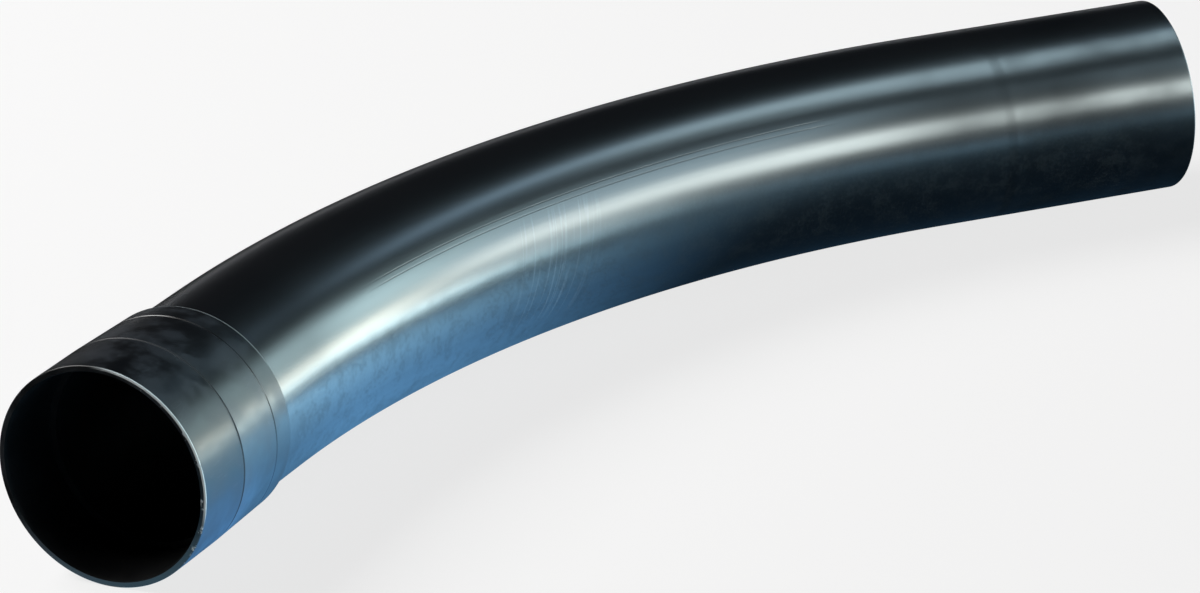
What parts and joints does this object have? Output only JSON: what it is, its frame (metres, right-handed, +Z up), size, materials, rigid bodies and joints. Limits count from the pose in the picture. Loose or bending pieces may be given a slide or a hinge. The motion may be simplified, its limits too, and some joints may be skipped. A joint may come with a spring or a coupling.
{
  "type": "pvc conduit elbow",
  "caption": "Long-sweep 45 degree PVC conduit elbow: a heat-bent pipe with a plain spigot at one end and a push-on slip coupling as the socket at the other.",
  "frame": {"origin": "centre of the coupling's stop ring, on the face that the next conduit butts against", "axes": "+Z up with the bend lying flat, +X halves the bend and runs from the socket end to the spigot end, and the bend's inner side faces -Y"},
  "size_m": [0.8054, 0.211, 0.1182],
  "materials": {
    "pipe_plastic": "extruded black PVC, glossy, lightly scuffed",
    "coupling_plastic": "moulded black PVC, satin gloss, faintly mottled"
  },
  "bodies": {
    "pipe": {"bend_pipe": "pipe_plastic"},
    "coupling": {"slip_coupling": "coupling_plastic"}
  },
  "joints": [
    {"name": "coupling_slide", "type": "slide", "parent": "pipe", "child": "coupling", "axis": [-0.9239, -0.3827, 0], "range_m": [0, 0.05]}
  ]
}
